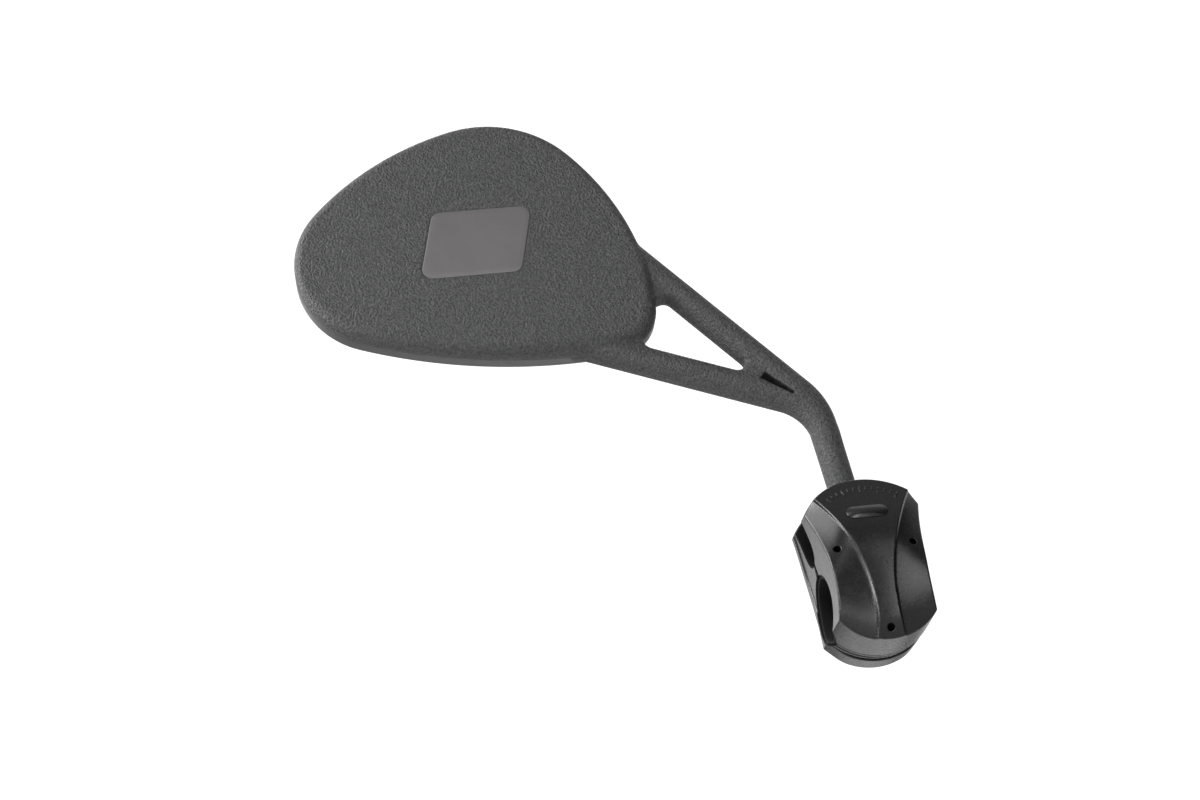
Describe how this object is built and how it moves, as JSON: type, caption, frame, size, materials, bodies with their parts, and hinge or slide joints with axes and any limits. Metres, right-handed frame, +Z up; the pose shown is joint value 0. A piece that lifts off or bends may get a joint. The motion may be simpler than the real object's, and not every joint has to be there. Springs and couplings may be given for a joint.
{
  "type": "bicycle handlebar mirror",
  "caption": "Teardrop convex mirror on a forked moulded arm that swings and twists on a ball held by a split handlebar clamp.",
  "frame": {"origin": "on the handlebar's centre line, in the middle of the clamp's width", "axes": "+X along the handlebar, to the right as seen from the clamp's front; +Y from the clamp's front to its back, which is the side that the mirror glass faces; +Z up, towards the arm"},
  "size_m": [0.2129, 0.0408, 0.2264],
  "materials": {
    "grained_plastic": "spark-eroded grain",
    "inlay_plastic": "smooth satin",
    "smooth_plastic": "smooth satin",
    "mirror_glass": "polished",
    "foam": "closed-cell foam",
    "acetal": "smooth",
    "rubber": "matte",
    "clamp_plastic": "satin, fine grain near the top",
    "steel": "zinc plated",
    "brass": "turned"
  },
  "bodies": {
    "front_clamp": {"front_shell": "clamp_plastic", "front_bar_liner": "rubber", "front_ball_seat": "acetal", "seat_cushion": "rubber", "threaded_inserts": "brass"},
    "rear_clamp": {"rear_shell": "clamp_plastic", "rear_bar_liner": "rubber", "rear_ball_seat": "acetal", "clamp_screws": "steel", "screw_washers": "steel"},
    "swivel": {"swivel_ball": "acetal"},
    "arm": {"arm_shell": "grained_plastic", "back_inlay": "inlay_plastic", "front_frame": "smooth_plastic", "mirror_glass": "mirror_glass", "glass_pad": "foam", "stem_screw": "steel", "spring_washer": "steel"}
  },
  "joints": [
    {"name": "clamp_open", "type": "slide", "parent": "front_clamp", "child": "rear_clamp", "axis": [0, 1, 0], "range_m": [0, 0.003]},
    {"name": "arm_swing", "type": "hinge", "parent": "front_clamp", "child": "swivel", "pos_m": [0, 0.0006, 0.023], "axis": [0, 1, 0], "range_deg": [-84, 95]},
    {"name": "arm_twist", "type": "hinge", "parent": "swivel", "child": "arm", "pos_m": [0, 0.0006, 0.023], "axis": [-0.1011, 0, 0.9949], "continuous": true}
  ]
}
